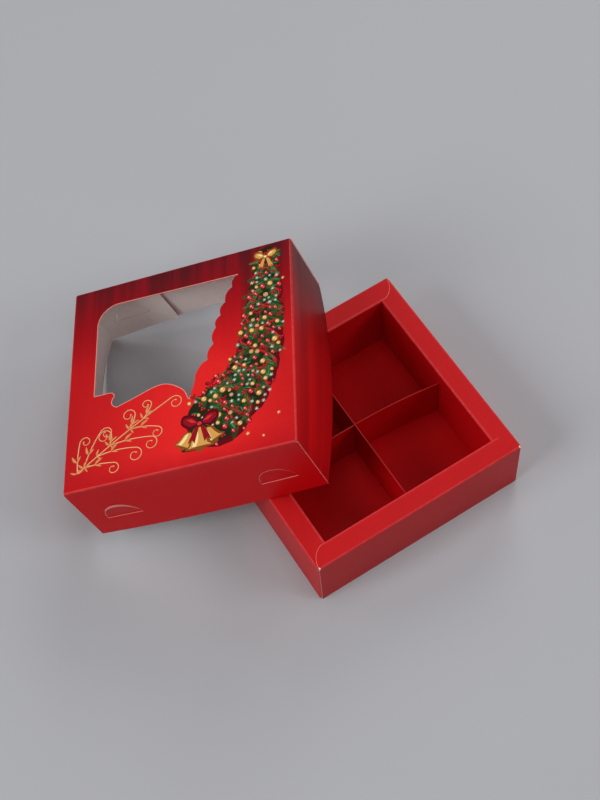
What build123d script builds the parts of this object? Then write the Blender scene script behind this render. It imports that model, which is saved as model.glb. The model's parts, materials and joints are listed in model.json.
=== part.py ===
from build123d import *
import math
import os

# Folding gift box for four sweets: a tray with a hollow rim and two crossed dividers, and its
# windowed lid, which leans on the tray's left and back rims with one corner on the table.
# The origin is the centre of the tray's base, +Z is up, and lengths are in millimetres.

# Board and fits
board = 0.4
slot_clearance = 0.15
divider_end_clearance = 0.3
lean_gap = 0.25

# Tray
tray_side = 103.0
tray_height = 33.5
rim_width = 9.4
tray_corner_relief = 0.7
tray_flap_length = 28.0
tray_flap_set_back = 1.5

# Dividers
divider_height = 25.5
divider_end_shift = 3.4
cut_overrun = 1.0

# Lid
lid_side = 105.0
lid_height = 36.5
lid_flap_length = 35.0
lid_flap_set_back = 0.8
right_wall_bow = 3.8

# Window in the lid's top, measured from the lid's left and back edges
window_left_margin = 12.5
window_back_margin = 11.5
window_corner_radius = 10.0
scallop_depth = 1.3

# Corners of the scallops from the window's upper right tip down, the shoulder below them and the
# waved front edge, as shares of the lid's side from its centre
scallop_shares = (
    (0.263, 0.377), (0.238, 0.322), (0.206, 0.251), (0.185, 0.190), (0.164, 0.133), (0.154, 0.054),
    (0.129, -0.018),
)
shoulder_shares = ((0.101, -0.033), (0.076, -0.074), (0.071, -0.112))
notch_share = (0.048, -0.188)
wave_shares = ((0.015, -0.127), (-0.076, -0.082), (-0.212, -0.120), (-0.276, -0.139))
hook_shares = ((-0.298, -0.117), (-0.288, -0.085))
curl_shares = ((-0.294, -0.068), (-0.312, -0.061))

# Half-moon locks of the lid: each tab is cut in a corner flap and stands out through its wall
lock_width = 16.0
lock_rise = 8.4
lock_base_height = 11.8
lock_from_side = 17.0
lock_clearance = 0.25
lock_lean = 6.0

# Where the lid rests, as shares of the tray's left and back rims and of the lid's front edge
left_rest_share = 0.385
back_rest_share = 0.652
front_edge_rest_share = 0.739

tray_reach = tray_side / 2
inner_reach = tray_reach - rim_width
lid_reach = lid_side / 2
# Each side of a box and how far it is turned from the front
sides = {side: 90 * count for count, side in enumerate(("front", "right", "back", "left"))}
os.makedirs("parts", exist_ok=True)


def save(piece, name):
    """Label a finished piece and write it to its own file."""
    piece.label = name
    export_step(piece, f"parts/{name}.step")


def leaning_frame():
    """Plane of the lid's mouth, its origin at the mouth's centre.

    The mouth touches the tray's left rim at one point of the lid's front edge, the tray's back rim
    at one point of the lid's right edge, and the table at the lid's back left corner.
    """
    rest_height = tray_height + lean_gap
    on_left = Vector(-tray_reach, -tray_reach + left_rest_share * tray_side, rest_height)
    on_back = Vector(-tray_reach + back_rest_share * tray_side, tray_reach, rest_height)
    # Places of the two rests in the mouth, from the lid's back left corner
    front_along = front_edge_rest_share * lid_side
    span = (on_back - on_left).length
    right_along = lid_side - math.sqrt(span**2 - (lid_side - front_along) ** 2)
    # The corner on the table is a known distance from both rests
    to_left = math.sqrt(front_along**2 + lid_side**2 - rest_height**2)
    to_back = math.sqrt(lid_side**2 + right_along**2 - rest_height**2)
    along_span = (to_left**2 - to_back**2 + span**2) / (2 * span)
    off_span = math.sqrt(to_left**2 - along_span**2)
    span_direction = (on_back - on_left).normalized()
    off_direction = Vector(-span_direction.Y, span_direction.X, 0)
    table_corner = on_left + span_direction * along_span + off_direction * off_span
    table_corner = Vector(table_corner.X, table_corner.Y, 0)
    # to the left rest = front_along right and one side forward; to the back rest likewise
    left_step = on_left - table_corner
    back_step = on_back - table_corner
    scale = lid_side * lid_side - front_along * right_along
    rightward = (back_step * lid_side - left_step * right_along) * (1 / scale)
    forward = (left_step * lid_side - back_step * front_along) * (1 / scale)
    centre = table_corner + (rightward + forward) * lid_reach
    return Plane(origin=centre, x_dir=rightward, z_dir=forward.cross(rightward))


def side_plane(frame, turn, reach):
    """Upright plane on one side of a box: x along the side, y up, and the normal points out."""
    angle = math.radians(turn)
    along = Vector(math.cos(angle), math.sin(angle), 0)
    outward = Vector(math.sin(angle), -math.cos(angle), 0)
    return Plane(
        origin=frame.from_local_coords(outward * reach),
        x_dir=frame.from_local_coords(along) - frame.origin,
        z_dir=frame.from_local_coords(outward) - frame.origin,
    )


def upright_panel(plane, left, right, bottom, top):
    """Flat panel of board behind a side plane."""
    with BuildPart() as panel:
        with BuildSketch(plane):
            with Locations(((left + right) / 2, (bottom + top) / 2)):
                Rectangle(right - left, top - bottom)
        extrude(amount=-board)
    return panel.part


def half_moons(plane, places, clearance):
    """Lock outlines on a side plane, flat side down."""
    with BuildSketch(plane) as moons:
        for place in places:
            base = lock_base_height - clearance
            half = lock_width / 2 + clearance
            with BuildLine():
                Line((place - half, base), (place + half, base))
                EllipticalCenterArc(
                    (place, base), half, lock_rise + 2 * clearance, start_angle=0, arc_size=180
                )
            make_face()
    return moons.sketch


def cut_half_moons(panel, plane, places):
    """Panel with half-moon holes cut right through it."""
    with BuildPart() as cut_panel:
        add(panel)
        extrude(
            half_moons(plane.offset(cut_overrun), places, lock_clearance),
            amount=-board - 2 * cut_overrun,
            mode=Mode.SUBTRACT,
        )
    return cut_panel.part


# Tray: the floor
with BuildPart() as floor:
    with BuildSketch(Plane.XY):
        Rectangle(2 * inner_reach, 2 * inner_reach)
    extrude(amount=board)
save(floor.part, "tray_floor")

# Tray: the rims at the left and right lie under the ends of those at the front and back
for side, turn in sides.items():
    over = side in ("front", "back")
    wall_top = tray_height - board if over else tray_height - 2 * board
    outer = side_plane(Plane.XY, turn, tray_reach)
    outer_half = tray_reach - tray_corner_relief if over else tray_reach - board
    save(upright_panel(outer, -outer_half, outer_half, 0, wall_top), f"tray_outer_wall_{side}")
    inner = side_plane(Plane.XY, turn, inner_reach + board)
    inner_half = inner_reach if over else inner_reach + board
    save(upright_panel(inner, -inner_half, inner_half, 0, wall_top), f"tray_inner_wall_{side}")
    level = Plane(origin=(0, 0, wall_top), x_dir=outer.x_dir, z_dir=(0, 0, 1))
    with BuildPart() as rim:
        with BuildSketch(level):
            if over:
                with BuildLine():
                    inner_left = (-inner_reach, -inner_reach)
                    inner_right = (inner_reach, -inner_reach)
                    outer_right = (outer_half, -tray_reach)
                    outer_left = (-outer_half, -tray_reach)
                    Line(inner_left, inner_right)
                    RadiusArc(inner_right, outer_right, rim_width)
                    Line(outer_right, outer_left)
                    RadiusArc(outer_left, inner_left, rim_width)
                make_face()
            else:
                with Locations((0, -tray_reach + rim_width / 2)):
                    Rectangle(2 * outer_half, rim_width)
        extrude(amount=board)
    save(rim.part, f"tray_rim_{side}")

# Tray: flaps on the left and right outer walls, folded behind the front and back outer walls
for side in ("front", "back"):
    behind = side_plane(Plane.XY, sides[side], tray_reach - board)
    flap_top = tray_height - 2 * board - tray_flap_set_back
    flap_end = tray_reach - board
    for end, sign in (("left", -1), ("right", 1)):
        edges = sorted((sign * flap_end, sign * (flap_end - tray_flap_length)))
        flap = upright_panel(behind, edges[0], edges[1], tray_flap_set_back, flap_top)
        across = end if side == "front" else {"left": "right", "right": "left"}[end]
        save(flap, f"tray_corner_flap_{side}_{across}")

# Dividers: two strips that halve into each other, the lower one bent a little to the front
divider_half = inner_reach - divider_end_clearance
divider_turn = 2 * math.atan2(divider_end_shift, divider_half)
slot_width = board + 2 * slot_clearance
slot_middle = board + divider_height / 2

with BuildPart() as lower_divider:
    with BuildSketch(Plane.XY.offset(board)):
        with BuildLine():
            end_faces = []
            for half_board in (board / 2, -board / 2):
                bend_end = (
                    divider_half + half_board * math.sin(divider_turn),
                    -divider_end_shift + half_board * math.cos(divider_turn),
                )
                Line((-divider_half, half_board), (0, half_board))
                TangentArc((0, half_board), bend_end, tangent=(1, 0))
                end_faces.append(bend_end)
            Line(*end_faces)
            Line((-divider_half, board / 2), (-divider_half, -board / 2))
        make_face()
    extrude(amount=divider_height)
    with BuildSketch(Plane.XY.offset(slot_middle - slot_clearance)):
        Rectangle(slot_width, board + 2 * cut_overrun)
    extrude(amount=divider_height, mode=Mode.SUBTRACT)
save(lower_divider.part, "divider_lower")

with BuildPart() as upper_divider:
    with BuildSketch(Plane.XY.offset(board)):
        Rectangle(board, 2 * divider_half)
    extrude(amount=divider_height)
    with BuildSketch(Plane.XY):
        Rectangle(board + 2 * cut_overrun, slot_width)
    extrude(amount=slot_middle + slot_clearance, mode=Mode.SUBTRACT)
save(upper_divider.part, "divider_upper")

# Lid: the top, with its window
lid_frame = leaning_frame()
corner_x = -lid_reach + window_left_margin
corner_y = lid_reach - window_back_margin


def lid_place(share):
    """Place in the lid's top from shares of the lid's side."""
    return (share[0] * lid_side, share[1] * lid_side)


scallops = [lid_place(share) for share in scallop_shares]
shoulder = [lid_place(share) for share in shoulder_shares]
notch = lid_place(notch_share)
wave = [lid_place(share) for share in wave_shares]
hook = [lid_place(share) for share in hook_shares]
curl = [lid_place(share) for share in curl_shares]

with BuildPart() as lid_top:
    with BuildSketch(lid_frame.offset(lid_height - board)):
        Rectangle(lid_side, lid_side)
    extrude(amount=board)
    with BuildSketch(lid_frame.offset(lid_height - board - cut_overrun)):
        with BuildLine():
            Line((corner_x, curl[1][1]), (corner_x, corner_y - window_corner_radius))
            RadiusArc(
                (corner_x, corner_y - window_corner_radius),
                (corner_x + window_corner_radius, corner_y),
                window_corner_radius,
            )
            Line((corner_x + window_corner_radius, corner_y), scallops[0])
            for start, end in zip(scallops, scallops[1:]):
                run_x, run_y = end[0] - start[0], end[1] - start[1]
                bulge = scallop_depth / math.hypot(run_x, run_y)
                middle_x = (start[0] + end[0]) / 2 + bulge * run_y
                middle_y = (start[1] + end[1]) / 2 - bulge * run_x
                ThreePointArc(start, (middle_x, middle_y), end)
            Polyline(scallops[-1], *shoulder, notch)
            Spline(notch, *wave)
            ThreePointArc(wave[-1], hook[0], hook[1])
            ThreePointArc(hook[1], curl[0], curl[1])
            Line(curl[1], (corner_x, curl[1][1]))
        make_face()
    extrude(amount=board + 2 * cut_overrun, mode=Mode.SUBTRACT)
save(lid_top.part, "lid_top")

# Lid: the walls at the front and back cover the ends of those at the left and right
lock_places = (-lid_reach + lock_from_side, lid_reach - lock_from_side)
wall_top = lid_height - board
for side in ("front", "back"):
    outer = side_plane(lid_frame, sides[side], lid_reach)
    wall = upright_panel(outer, -lid_reach, lid_reach, 0, wall_top)
    save(cut_half_moons(wall, outer, lock_places), f"lid_wall_{side}")

side_half = lid_reach - board
left = side_plane(lid_frame, sides["left"], lid_reach)
save(upright_panel(left, -side_half, side_half, 0, wall_top), "lid_wall_left")

# Lid: the right wall bows out along its free edge
right = side_plane(lid_frame, sides["right"], lid_reach)
right_foot = Plane(origin=right.origin, x_dir=right.x_dir, z_dir=right.y_dir)
with BuildPart() as right_wall:
    with BuildSketch(right_foot):
        with BuildLine():
            ThreePointArc((-side_half, 0), (0, -right_wall_bow), (side_half, 0))
            Line((side_half, 0), (side_half, board))
            ThreePointArc((side_half, board), (0, board - right_wall_bow), (-side_half, board))
            Line((-side_half, board), (-side_half, 0))
        make_face()
    with BuildSketch(right_foot.offset(wall_top)):
        with Locations((0, board / 2)):
            Rectangle(2 * side_half, board)
    loft(ruled=True)
save(right_wall.part, "lid_wall_right")

# Lid: flaps on the left and right walls, folded behind the front and back walls, with their locks
for side in ("front", "back"):
    behind = side_plane(lid_frame, sides[side], lid_reach - board)
    middle = side_plane(lid_frame, sides[side], lid_reach - board - board / 2)
    for place, sign in zip(lock_places, (-1, 1)):
        at_left = (sign < 0) == (side == "front")
        name = f"{side}_{'left' if at_left else 'right'}"
        edges = sorted((sign * side_half, sign * (side_half - lid_flap_length)))
        flap = upright_panel(
            behind, edges[0], edges[1], lid_flap_set_back, wall_top - lid_flap_set_back
        )
        save(cut_half_moons(flap, behind, [place]), f"lid_corner_flap_{name}")
        lean = math.radians(lock_lean)
        tab_plane = Plane(
            origin=middle.from_local_coords((place, lock_base_height, 0)),
            x_dir=middle.x_dir,
            z_dir=middle.z_dir * math.cos(lean) - middle.y_dir * math.sin(lean),
        )
        with BuildPart() as tab:
            with BuildSketch(tab_plane):
                with BuildLine():
                    Line((-lock_width / 2, 0), (lock_width / 2, 0))
                    EllipticalCenterArc(
                        (0, 0), lock_width / 2, lock_rise, start_angle=0, arc_size=180
                    )
                make_face()
            extrude(amount=board / 2, both=True)
        save(tab.part, f"lock_tab_{name}")
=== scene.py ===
import bmesh
import bpy
import json
import math
import random
from mathutils import Matrix, Vector
from mathutils.geometry import delaunay_2d_cdt


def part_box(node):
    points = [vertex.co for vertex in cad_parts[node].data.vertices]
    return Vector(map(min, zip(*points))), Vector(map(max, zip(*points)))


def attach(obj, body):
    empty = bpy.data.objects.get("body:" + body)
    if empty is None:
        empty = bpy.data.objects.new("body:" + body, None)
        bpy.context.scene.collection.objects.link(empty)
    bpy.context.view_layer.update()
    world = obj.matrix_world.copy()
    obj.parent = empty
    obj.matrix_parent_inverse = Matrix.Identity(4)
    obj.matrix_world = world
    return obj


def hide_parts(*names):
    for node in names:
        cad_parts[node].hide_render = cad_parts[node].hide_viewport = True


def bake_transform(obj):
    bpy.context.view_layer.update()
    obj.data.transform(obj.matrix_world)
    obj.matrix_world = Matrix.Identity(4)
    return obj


bl_info = {
    "name": "Festive Sweet Box",
    "version": (1, 0, 0),
    "blender": (4, 5, 0),
    "location": "View3D > Sidebar > Sweet Box",
    "description": "Folds and prints a windowed sweet box and its divided tray round a fixed frame",
    "category": "Add Mesh",
}

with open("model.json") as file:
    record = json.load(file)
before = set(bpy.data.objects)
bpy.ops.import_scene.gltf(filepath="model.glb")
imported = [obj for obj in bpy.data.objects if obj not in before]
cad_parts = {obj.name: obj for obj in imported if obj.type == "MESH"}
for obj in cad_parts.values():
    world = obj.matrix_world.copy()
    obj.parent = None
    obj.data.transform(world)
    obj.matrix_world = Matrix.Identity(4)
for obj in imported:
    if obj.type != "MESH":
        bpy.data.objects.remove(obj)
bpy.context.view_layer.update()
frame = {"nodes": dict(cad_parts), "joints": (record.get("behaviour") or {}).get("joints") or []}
JOINTS = {joint["name"]: joint for joint in frame["joints"]}
MM = 0.001


def lid_matrix():
    """Frame of the lid: origin at the middle of its top, x to the right, y to the back, z up."""
    front = Vector(JOINTS["front_wall_fold"]["pos_m"])
    back = Vector(JOINTS["back_wall_fold"]["pos_m"])
    right = -Vector(JOINTS["front_wall_fold"]["axis"]).normalized()
    backward = (back - front).normalized()
    turn = Matrix((right, backward, right.cross(backward))).transposed().to_4x4()
    turn.translation = (front + back) / 2
    return turn


LID = lid_matrix()
TRAY = Matrix.Identity(4)


def box_in(base, node):
    """Lowest and highest corner of a CAD node in a base frame."""
    inverse = base.inverted()
    places = [inverse @ vertex.co for vertex in frame["nodes"][node].data.vertices]
    low = Vector(min(place[axis] for place in places) for axis in range(3))
    high = Vector(max(place[axis] for place in places) for axis in range(3))
    return low, high


# Sizes that follow from the frame, in metres
LID_TOP_BOX = box_in(LID, "lid_top")
LID_REACH = LID_TOP_BOX[1].x
BOARD = LID_TOP_BOX[1].z - LID_TOP_BOX[0].z
LID_HEIGHT = -box_in(LID, "lid_wall_left")[0].z
RIGHT_BOW = box_in(LID, "lid_wall_right")[1].x - LID_REACH
FLAP_BOX = box_in(LID, "lid_corner_flap_front_left")
FLAP_REACH = LID_REACH + FLAP_BOX[1].x
FLAP_SET_BACK = LID_HEIGHT + FLAP_BOX[0].z
RIM_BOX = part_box("tray_rim_front")
TRAY_REACH = -RIM_BOX[0].y
TRAY_TOP = RIM_BOX[1].z
RIM_WIDTH = RIM_BOX[1].y - RIM_BOX[0].y
INNER_REACH = TRAY_REACH - RIM_WIDTH
FRONT_WALL_REACH = RIM_BOX[1].x
TRAY_FLAP_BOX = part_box("tray_corner_flap_front_left")
TRAY_FLAP_REACH = TRAY_REACH + TRAY_FLAP_BOX[1].x
TRAY_FLAP_SET_BACK = TRAY_FLAP_BOX[0].z
DIVIDER_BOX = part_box("divider_lower")
DIVIDER_SHIFT = -DIVIDER_BOX[0].y - BOARD / 2
DIVIDER_BASE, DIVIDER_TOP = DIVIDER_BOX[0].z, DIVIDER_BOX[1].z
DIVIDER_REACH = -DIVIDER_BOX[0].x
LOCK_BOX = box_in(LID, "lock_tab_front_left")
LOCK_WIDTH = LOCK_BOX[1].x - LOCK_BOX[0].x
LOCKS = ("front_left", "front_right", "back_left", "back_right")

# Sides of a box, and how far each is turned from the front
SIDES = {side: count * math.pi / 2 for count, side in enumerate(("front", "right", "back", "left"))}

# How finely a sheet is cut, folded and shaded
MESH_STEP = 4 * MM
GRID_MARGIN = MM
QUARTER_STEPS = 12
MOON_STEPS = 22
STRAIGHT = math.radians(0.2)
SMOOTH = math.radians(34)

# Unit and tolerance of the triangulation, and the scale of the flat pattern in the UV map
FLAT_UNIT = 1 / MM
FINE = 1e-5
PATTERN_SCALE = 0.2

# Play between folded layers, and the cut corners of the hidden flaps
FLAP_PLAY, FLOOR_PLAY = 0.03 * MM, 0.02 * MM
LID_CHAMFER, TRAY_CHAMFER = 2.5 * MM, 3 * MM

# Where the tray's outer walls and rims end beside a crease, in its radii
FLAP_START, RIM_STOP = 0.8, 0.2

# Colour of a sheet without print
BARE = (0.0, 0.0, 0.0, 0.0)


def length_property(name, description, value):
    """A length that the user may change, given in millimetres."""
    return bpy.props.FloatProperty(
        name=name, description=description, default=value * MM, unit="LENGTH")


def angle_property(name, description, value):
    """An angle that the user may change, given in degrees."""
    return bpy.props.FloatProperty(
        name=name, description=description, default=math.radians(value), subtype="ANGLE")


def colour_property(name, description, *screen):
    """A colour that the user may change, given as it looks on a screen."""
    return bpy.props.FloatVectorProperty(
        name=name, description=description, default=linear(*screen)[:3],
        subtype="COLOR", size=3, min=0, max=1)


def linear(*screen):
    """Linear colour of screen values from 0 to 255."""
    shares = [value / 255 for value in screen]
    return tuple(
        share / 12.92 if share <= 0.04045 else ((share + 0.055) / 1.055) ** 2.4 for share in shares
    ) + (1.0,)


class LidSizes(bpy.types.PropertyGroup):
    """How the lid is folded and how it has settled."""

    crease_radius: length_property("Crease Radius", "Outer radius of the lid's creases", 0.8)
    back_bow: length_property("Back Wall Bow", "How far the back wall's free edge stands out", 5.0)
    back_flap_bow: length_property(
        "Back Flap Bow", "How far the flaps behind the back wall stand out", 2.8)
    front_bow: length_property(
        "Front Wall Bow", "How far the front wall's free edge stands out", 1.2)
    left_bow: length_property("Left Wall Bow", "How far the left wall's free edge stands out", 4.2)
    front_lean: angle_property("Front Lock Lean", "How far the front half-moon tabs lean out", 6)
    pushed_lean: angle_property(
        "Pushed Lock Lean", "Lean of the front right tab, pushed nearly home", 1)
    back_lean: angle_property("Back Lock Lean", "How far the back half-moon tabs lean out", 10)
    lock_rise: length_property("Lock Rise", "Height of the half-moon tabs", 8.4)
    lock_clearance: length_property(
        "Lock Clearance", "Gap between a tab and the hole in its wall", 0.25)
    lock_skew: length_property(
        "Lock Skew", "How far a tab's crown lies to the side of its middle", 1.4)
    lock_kerf: length_property("Lock Kerf", "Width of the cut round a tab in its flap", 0.15)


class TraySizes(bpy.types.PropertyGroup):
    """How the tray is folded."""

    crease_radius: length_property("Crease Radius", "Outer radius of the tray's creases", 0.75)
    slot_clearance: length_property("Slot Clearance", "Gap on each side of a halved divider", 0.15)
    wall_bow: length_property("Wall Bow", "How far the tray's outer walls swell", 0.35)


class BoardColours(bpy.types.PropertyGroup):
    """Colours of the board and its print."""

    tray_red: colour_property("Tray Red", "Red coating of the tray", 199, 8, 16)
    divider_red: colour_property("Divider Red", "Red coating of the dividers", 190, 6, 12)
    print_bright: colour_property("Bright Print", "Brightest red of the lid's print", 236, 38, 38)
    print_red: colour_property("Red Print", "Main red of the lid's print", 202, 24, 30)
    print_wall: colour_property("Wall Print", "Red of the print on the front wall", 204, 4, 12)
    print_deep: colour_property("Deep Print", "Dark red of the lid's print", 150, 12, 20)
    print_dark: colour_property("Dark Print", "Maroon along the lid's back edge", 86, 24, 30)
    inside: colour_property("Bare Board", "Uncoated inside of the lid", 252, 245, 241)
    cut_edge: colour_property("Cut Edge", "Raw edge of the board", 226, 118, 116)
    floor: colour_property("Floor", "Pale floor of the stage", 176, 177, 181)


def settings(name):
    """The values of one of this box's groups of settings."""
    return getattr(bpy.context.scene, "sweet_box_" + name)


def toward(angle):
    """Unit vector at an angle."""
    return Vector((math.cos(angle), math.sin(angle)))


def left_of(heading):
    """A heading turned to the left by a right angle."""
    return Vector((-heading.y, heading.x))


class Profile:
    """Cross-section of a folded sheet: straight runs joined by round creases."""

    crease_steps = 5
    margin_share = 0.6

    def __init__(self, corners, radius):
        points = [Vector(corner) for corner in corners]
        headings = [(end - start).normalized() for start, end in zip(points, points[1:])]
        self.radius, self.runs, self.lines = radius, [], []
        length, inset, start = 0.0, 0.0, points[0]
        for point, heading, following in zip(points[1:], headings, [*headings[1:], headings[-1]]):
            turn = 0.0 if following is heading else heading.angle_signed(following)
            tangent = radius * math.tan(abs(turn) / 2)
            end = point - heading * tangent
            run = (end - start).length
            self.lines.append((length, inset))
            self.runs.append((length, length + run, start, heading, 0, None))
            length += run
            if turn:
                side = -1 if turn > 0 else 1
                centre = end + left_of(heading) * radius * side
                arc = radius * abs(turn)
                self.runs.append((length, length + arc, end, heading, side, centre))
                length += arc
                start = point + following * tangent
            inset = tangent
        self.length = length

    def at(self, length):
        """Point of the profile at a length along it, and 1 on a crease or 0 off it."""
        for start, end, point, heading, side, centre in self.runs:
            if length <= end + FINE * MM or end == self.length:
                break
        if side == 0:
            return point + heading * (length - start), 0.0
        angle = side * (length - start) / self.radius
        arm = point - centre
        turned = Vector((
            arm.x * math.cos(angle) - arm.y * math.sin(angle),
            arm.x * math.sin(angle) + arm.y * math.cos(angle),
        ))
        return centre + turned, 1.0

    def reach(self, run, distance):
        """Length along the profile to a place on a straight run, given from its first corner."""
        start, inset = self.lines[run]
        return start + distance - inset

    def rows(self):
        """Lengths at which a sheet needs a row of points to fold along this profile."""
        rows = []
        margin = self.margin_share * self.radius
        for start, end, _, _, side, _ in self.runs:
            if side:
                rows += [start + (end - start) * step / self.crease_steps
                         for step in range(self.crease_steps + 1)]
                rows += [start - margin, end + margin]
        return rows


def counter_clockwise(points):
    """The same outline, going round counter-clockwise."""
    area = sum(a[0] * b[1] - b[0] * a[1] for a, b in zip(points, points[1:] + points[:1]))
    return points if area > 0 else points[::-1]


def grid_lines(low, high, wanted):
    """Places of grid lines: the wanted ones, and even ones where these leave room."""
    places = sorted(place for place in wanted if low < place < high)
    count = max(1, round((high - low) / MESH_STEP))
    for step in range(1, count):
        place = low + (high - low) * step / count
        if all(abs(place - other) > MESH_STEP / 4 for other in places):
            places.append(place)
    return places


def flat_point(u, v):
    """Point of a flat sheet, in the unit that it is cut in."""
    return Vector((u * FLAT_UNIT, v * FLAT_UNIT))


def triangulate(outline, holes, inks, rows, columns):
    """Triangles of a flat sheet, each with the colour of the ink that covers it."""
    points, edges, faces = [], [], []
    for shape in [outline, *holes, *(ink[0] for ink in inks)]:
        start = len(points)
        points += [flat_point(u, v) for u, v in counter_clockwise(list(shape))]
        faces.append(list(range(start, len(points))))
    low = [min(point[axis] for point in outline) for axis in range(2)]
    high = [max(point[axis] for point in outline) for axis in range(2)]
    for axis, wanted in ((1, rows), (0, columns)):
        for place in grid_lines(low[axis], high[axis], wanted):
            edges.append((len(points), len(points) + 1))
            for end in (low[1 - axis] - GRID_MARGIN, high[1 - axis] + GRID_MARGIN):
                points.append(flat_point(end, place) if axis else flat_point(place, end))
    flat, _, triangles, _, _, sources = delaunay_2d_cdt(points, edges, faces, 0, FINE)
    flat = [(point.x / FLAT_UNIT, point.y / FLAT_UNIT) for point in flat]
    frames = [[(min(values), max(values)) for values in zip(*shape)] for shape, _ in inks]
    first_ink = 1 + len(holes)
    kept = []
    for triangle, source in zip(triangles, sources):
        if 0 not in source or any(0 < number < first_ink for number in source):
            continue
        middle = [sum(flat[index][axis] for index in triangle) / 3 for axis in range(2)]
        covers = (inks[number - first_ink][1] for number in sorted(source, reverse=True)
                  if number >= first_ink and all(
                      start <= value <= end
                      for value, (start, end) in zip(middle, frames[number - first_ink])))
        kept.append((triangle, next(covers, BARE)))
    return flat, kept


def merge_level(flat, kept, reach):
    """The same print in fewer triangles: where the sheet lies flat, edges inside a colour go."""
    mesh = bmesh.new()
    corners = [mesh.verts.new((u * FLAT_UNIT, v * FLAT_UNIT, 0)) for u, v in flat]
    number = mesh.faces.layers.int.new("colour")
    colours = {}
    for triangle, colour in kept:
        face = mesh.faces.new([corners[index] for index in triangle])
        face[number] = colours.setdefault(colour, len(colours))
    mesh.normal_update()
    for edge in mesh.edges:
        edge.seam = len({face[number] for face in edge.link_faces}) > 1
    level = [edge for edge in mesh.edges
             if all(abs(axis) < reach * FLAT_UNIT for corner in edge.verts for axis in corner.co)]
    bmesh.ops.dissolve_limit(
        mesh, angle_limit=STRAIGHT, edges=level, delimit={"SEAM"},
        verts=list(dict.fromkeys(corner for edge in level for corner in edge.verts)))
    bmesh.ops.triangulate(mesh, faces=[face for face in mesh.faces if len(face.verts) > 3])
    mesh.verts.index_update()
    flat = [(corner.co.x / FLAT_UNIT, corner.co.y / FLAT_UNIT) for corner in mesh.verts]
    shades = list(colours)
    kept = [([corner.index for corner in face.verts], shades[face[number]]) for face in mesh.faces]
    mesh.free()
    return flat, kept


def cut_sheet(name, outline, fold, finishes, holes=(), inks=(), rows=(), columns=(), turn=0.0,
              level=0.0):
    """Cut a sheet of board, print it, fold it and give it its thickness.

    The finishes are those of the outside, the inside and the cut edge. An ink is an outline and
    its colour. The fold gives a point in the row frame and how creased the board is there. The
    sheet stays flat as far as level from its middle.
    """
    flat, kept = triangulate(outline, holes, inks, rows, columns)
    if level:
        flat, kept = merge_level(flat, kept, level)
    used = sorted({index for triangle, _ in kept for index in triangle})
    number = {index: place for place, index in enumerate(used)}
    folded = [fold(*flat[index]) for index in used]
    mesh = bpy.data.meshes.new(name)
    mesh.from_pydata(
        [place for place, _ in folded], [],
        [[number[index] for index in triangle] for triangle, _ in kept])
    cosine, sine = math.cos(turn), math.sin(turn)
    places, colours = [], []
    for face, (_, colour) in zip(mesh.polygons, kept):
        for loop in face.loop_indices:
            u, v = flat[used[mesh.loops[loop].vertex_index]]
            places += [0.5 + (u * cosine - v * sine) / PATTERN_SCALE,
                       0.5 + (u * sine + v * cosine) / PATTERN_SCALE]
            colours += colour
    mesh.uv_layers.new(name="sheet")
    mesh.color_attributes.new("ink", "FLOAT_COLOR", "CORNER")
    mesh.attributes.new("creased", "FLOAT", "POINT")
    mesh.attributes["sheet"].data.foreach_set("vector", places)
    mesh.attributes["ink"].data.foreach_set("color", colours)
    mesh.attributes["creased"].data.foreach_set("value", [crease for _, crease in folded])
    for finish in finishes:
        mesh.materials.append(bpy.data.materials[finish])
    piece = bpy.data.objects.new(name, mesh)
    bpy.context.collection.objects.link(piece)
    bpy.ops.object.select_all(action="DESELECT")
    piece.select_set(True)
    bpy.context.view_layer.objects.active = piece
    count = len(mesh.polygons)
    board = piece.modifiers.new("board", "SOLIDIFY")
    board.thickness = BOARD
    board.offset = -1
    board.use_even_offset = True
    bpy.ops.object.modifier_apply(modifier=board.name)
    for face in piece.data.polygons:
        face.material_index = min(face.index // count, 2)
    bpy.ops.object.shade_smooth_by_angle(angle=SMOOTH)
    return piece


def side_place(base, turn, along, outward, up):
    """Point of the row frame on one side of a box, from its distances in the box's own frame."""
    cosine, sine = math.cos(turn), math.sin(turn)
    return base @ Vector((along * cosine + outward * sine, along * sine - outward * cosine, up))


def bow_at(along, reach, depth, bow, rise=2.0, fall=1.0):
    """How far a wall stands out, most at the middle of its free edge."""
    return bow * max(0.0, 1 - abs(along / reach) ** rise) ** fall * depth


def lid_profile():
    """From the middle of the lid's top, over the crease and down to the mouth."""
    corners = ((0, 0), (LID_REACH, 0), (LID_REACH, -LID_HEIGHT))
    return Profile(corners, settings("lid").crease_radius)


def corner_profile(reach, radius):
    """Along a wall and round its upright crease to the flap behind the next wall."""
    return Profile(((0, 0), (reach, 0), (reach, -reach)), radius)


def lock_place(name):
    """Middle of a lock's base in the lid's frame."""
    return LID.inverted() @ Vector(JOINTS["lock_" + name]["pos_m"])


def half_moon(middle, base, upward=1, clearance=0.0, below=0.0, mirror=1):
    """Half-moon outline on its base, and as far below it as given.

    Upward is 1 where the pattern's v goes up, and mirror is 1 where its crown lies to the left.
    """
    sizes = settings("lid")
    grown = LOCK_WIDTH / 2 + clearance
    foot = base - upward * below
    points = [(middle + grown, foot)] if below else []
    for step in range(MOON_STEPS + 1):
        angle = math.pi * step / MOON_STEPS
        aside = -mirror * sizes.lock_skew * math.sin(angle)
        height = (sizes.lock_rise + clearance) * math.sin(angle)
        points.append((middle + aside + grown * math.cos(angle), base + upward * height))
    return points + [(middle - grown, foot)] if below else points


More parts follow.
